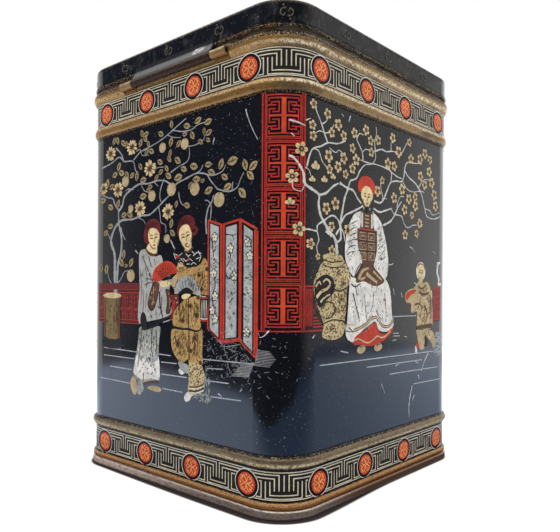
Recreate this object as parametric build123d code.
"""Square hinged-lid caddy tin: a swaged tinplate body on a double-seamed foot, with a drawn lid that slips
over an inner collar and turns on a rolled knuckle hinge along the top of its back wall.

Frame: origin at the centre of the foot, +Z up, hinge along the back (+Y), millimetres.
Offsets named "out" are measured outwards from the wall's outer face, and may be negative.
"""

import os
from math import asin, atan2, cos, hypot, sin, sqrt

from build123d import *

# Body
SIDE = 100.0
CORNER_RADIUS = 12.3
SHEET = 0.3
WALL_BOTTOM = 0.8
WALL_TOP = 134.8

# Swaged beads: bottom, top and how far each stands out
FOOT_BEAD = (2.6, 4.9, 0.9)
LOWER_BEAD = (13.8, 17.4, 1.2)
UPPER_BEAD = (118.2, 122.1, 0.9)
TOP_BEAD = (130.3, WALL_TOP, 1.3)

# Side seam, folded flat on the inside of the right wall
SEAM_WIDTH = 5.0
SEAM_THICKNESS = 0.6
SEAM_FROM_CENTRE = 30.0

# Double seam that joins the bottom panel to the wall
FOOT_HEIGHT = FOOT_BEAD[0]
FOOT_OUT = 1.1
FOOT_IN = -0.9
FOOT_ROUND = 0.7
PANEL_HEIGHT = 1.6

# Collar
COLLAR_BOTTOM = 124.0
COLLAR_TOP = 140.0
COLLAR_FOLD_HEIGHT = 1.6
COLLAR_FOLD = 0.35

# Lid
LID_BOTTOM = 135.5
LID_TOP = 143.5
LID_CLEARANCE = 0.4
LID_EDGE_RADIUS = 1.5
HEM_HEIGHT = 0.9
HEM_OUT = 0.3

# Hinge
PIN_RADIUS = 0.85
STRAP = 0.4
KNUCKLE_CLEARANCE = 0.05
AXIS_OUT = 1.6
AXIS_HEIGHT = 132.4
LID_KNUCKLE_LENGTH = 38.6
END_KNUCKLE_LENGTH = 6.3
HINGE_CENTRE = -2.2
KNUCKLE_GAP = 0.4
STRAP_BEND_HEIGHT = 136.4
STRAP_TOP = 137.6
POCKET_GAP = 0.3
PIN_INSET = 0.6

HALF = SIDE / 2
KNUCKLE_RADIUS = PIN_RADIUS + KNUCKLE_CLEARANCE + STRAP
LID_OUT = -SHEET + LID_CLEARANCE + SHEET
HINGE_HALF = LID_KNUCKLE_LENGTH / 2 + KNUCKLE_GAP + END_KNUCKLE_LENGTH
POCKET_HALF = HINGE_HALF + POCKET_GAP


def square_outline(out):
    """The tin's rounded square, in plan, moved outwards."""
    return RectangleRounded(SIDE + 2 * out, SIDE + 2 * out, CORNER_RADIUS + out)


def rounded_block(out, low, high):
    """A solid block of the tin's plan between two heights."""
    return Pos(0, 0, low) * extrude(square_outline(out), high - low)


def round_the_tin(section):
    """Sweeps a section, drawn as (out, height), all the way round the tin."""
    straight = HALF - CORNER_RADIUS
    path = []
    for turn in range(4):
        corner = CenterArc((straight, straight), CORNER_RADIUS, 0, 90)
        side = Line((straight, HALF), (-straight, HALF))
        path += [Rot(0, 0, 90 * turn) * corner, Rot(0, 0, 90 * turn) * side]
    start = Plane(origin=(HALF, straight, 0), x_dir=(1, 0, 0), z_dir=(0, -1, 0))
    return sweep(start * section, path=Wire(path))


def section_along_hinge(section, centre, length):
    """Extrudes a section, drawn as (out, height), along the back wall. The centre counts from the hinge's."""
    plane = Plane(origin=(HINGE_CENTRE + centre - length / 2, HALF, 0), x_dir=(0, 1, 0), z_dir=(1, 0, 0))
    return extrude(plane * section, length)


def beaded_line(depth, low, high, beads):
    """One face of the swaged sheet in section, from bottom to top, at a depth below its outer face."""
    edges = []
    height = low
    for start, end, stand in beads:
        middle = (start + end) / 2
        radius = ((end - start) ** 2 / 4 + stand**2) / (2 * stand)
        reach = sqrt((radius - depth) ** 2 - (radius - stand - depth) ** 2)
        if middle - reach > height:
            edges.append(Line((-depth, height), (-depth, middle - reach)))
        edges.append(
            ThreePointArc((-depth, middle - reach), (stand - depth, middle), (-depth, middle + reach))
        )
        height = middle + reach
    if high > height:
        edges.append(Line((-depth, height), (-depth, high)))
    return edges


def make_body_wall():
    beads = [FOOT_BEAD, LOWER_BEAD, UPPER_BEAD, TOP_BEAD]
    outer = beaded_line(0, WALL_BOTTOM, WALL_TOP, beads)
    inner = beaded_line(SHEET, WALL_BOTTOM, WALL_TOP, beads)
    ends = [Line((-SHEET, height), (0, height)) for height in (WALL_BOTTOM, WALL_TOP)]
    wall = round_the_tin(make_face(outer + inner + ends))

    low, high, stand = TOP_BEAD
    pocket_height = high - low
    middle = (low + high) / 2
    pocket = Pos(HINGE_CENTRE, HALF + stand, middle) * Box(2 * POCKET_HALF, 4 * stand, pocket_height)
    wall -= pocket
    flat = Pos(HINGE_CENTRE, HALF - SHEET / 2, middle) * Box(2 * POCKET_HALF, SHEET, pocket_height)
    wall += flat
    bulge = make_face(
        [
            Line((-SHEET, low), (0, low)),
            ThreePointArc((0, low), (stand, middle), (0, high)),
            Line((0, high), (-SHEET, high)),
            Line((-SHEET, high), (-SHEET, low)),
        ]
    )
    for end in (-1, 1):
        wall += section_along_hinge(bulge, end * (POCKET_HALF + SHEET / 2), SHEET)

    seam_low = LOWER_BEAD[1]
    seam_high = UPPER_BEAD[0]
    seam = Box(SEAM_THICKNESS, SEAM_WIDTH, seam_high - seam_low)
    wall += Pos(HALF - SHEET - SEAM_THICKNESS / 2, -SEAM_FROM_CENTRE, (seam_low + seam_high) / 2) * seam
    return wall


def make_base_panel():
    width = FOOT_OUT - FOOT_IN
    rim = Pos((FOOT_OUT + FOOT_IN) / 2, FOOT_HEIGHT / 2) * Rectangle(width, FOOT_HEIGHT)
    rim = fillet(rim.vertices(), FOOT_ROUND)
    rim -= Pos(-SHEET / 2, WALL_BOTTOM + FOOT_HEIGHT / 2) * Rectangle(SHEET, FOOT_HEIGHT)
    panel = rounded_block(FOOT_IN + SHEET, PANEL_HEIGHT - SHEET, PANEL_HEIGHT)
    return round_the_tin(rim) + panel


def make_neck_collar():
    height = COLLAR_TOP - COLLAR_BOTTOM
    section = Pos(-1.5 * SHEET, COLLAR_BOTTOM + height / 2) * Rectangle(SHEET, height)
    fold_out = -2 * SHEET - COLLAR_FOLD / 2
    section += Pos(fold_out, COLLAR_TOP - COLLAR_FOLD_HEIGHT / 2) * Rectangle(COLLAR_FOLD, COLLAR_FOLD_HEIGHT)
    return round_the_tin(section)


def make_lid_shell():
    outside = rounded_block(LID_OUT, LID_BOTTOM, LID_TOP)
    outside = fillet(outside.faces().sort_by(Axis.Z)[-1].edges(), LID_EDGE_RADIUS)
    inside = rounded_block(LID_OUT - SHEET, LID_BOTTOM - SHEET, LID_TOP - SHEET)
    inside = fillet(inside.faces().sort_by(Axis.Z)[-1].edges(), LID_EDGE_RADIUS - SHEET)
    hem = SlotOverall(HEM_HEIGHT, 2 * HEM_OUT, rotation=90)
    hem = Pos(LID_OUT, LID_BOTTOM + HEM_HEIGHT / 2) * hem
    hem -= Pos(LID_OUT - SHEET, LID_BOTTOM + HEM_HEIGHT / 2) * Rectangle(SHEET, 2 * HEM_HEIGHT)
    hem_ring = round_the_tin(hem)
    notch = Pos(HINGE_CENTRE, HALF + LID_OUT + HEM_OUT, LID_BOTTOM) * Box(
        LID_KNUCKLE_LENGTH + 2 * KNUCKLE_GAP, 2 * HEM_OUT, 4 * HEM_HEIGHT
    )
    return outside - inside + (hem_ring - notch)


def knuckle_section(bore):
    centre = Pos(AXIS_OUT, AXIS_HEIGHT)
    return centre * (Circle(KNUCKLE_RADIUS) - Circle(bore))


def make_lid_leaf():
    bend_out = LID_OUT + STRAP
    run = bend_out - AXIS_OUT
    rise = STRAP_BEND_HEIGHT - AXIS_HEIGHT
    tangent = asin(KNUCKLE_RADIUS / hypot(run, rise)) - atan2(run, rise)
    bore = PIN_RADIUS + KNUCKLE_CLEARANCE
    inner_bend = AXIS_HEIGHT + (bore + (AXIS_OUT - LID_OUT) * cos(tangent)) / sin(tangent)
    strap = make_face(
        Polyline(
            (LID_OUT, STRAP_TOP),
            (bend_out, STRAP_TOP),
            (bend_out, STRAP_BEND_HEIGHT),
            (AXIS_OUT + KNUCKLE_RADIUS * cos(tangent), AXIS_HEIGHT + KNUCKLE_RADIUS * sin(tangent)),
            (AXIS_OUT + bore * cos(tangent), AXIS_HEIGHT + bore * sin(tangent)),
            (LID_OUT, inner_bend),
            close=True,
        )
    )
    return section_along_hinge(strap + knuckle_section(bore), 0, LID_KNUCKLE_LENGTH)


def make_body_leaf(side):
    """An end knuckle and the strap that holds it flat against the wall."""
    low, high, _ = TOP_BEAD
    strap = Pos(STRAP / 2, (low + high) / 2) * Rectangle(STRAP, high - low)
    centre = side * (HINGE_HALF - END_KNUCKLE_LENGTH / 2)
    return section_along_hinge(strap + knuckle_section(PIN_RADIUS), centre, END_KNUCKLE_LENGTH)


def make_hinge_pin():
    length = 2 * (HINGE_HALF - PIN_INSET)
    return section_along_hinge(Pos(AXIS_OUT, AXIS_HEIGHT) * Circle(PIN_RADIUS), 0, length)


PIECES = {
    "body_wall": make_body_wall(),
    "base_panel": make_base_panel(),
    "neck_collar": make_neck_collar(),
    "lid_shell": make_lid_shell(),
    "hinge_lid_leaf": make_lid_leaf(),
    "hinge_body_leaf_left": make_body_leaf(-1),
    "hinge_body_leaf_right": make_body_leaf(1),
    "hinge_pin": make_hinge_pin(),
}

os.makedirs("parts", exist_ok=True)
for name, piece in PIECES.items():
    export_step(piece, f"parts/{name}.step")
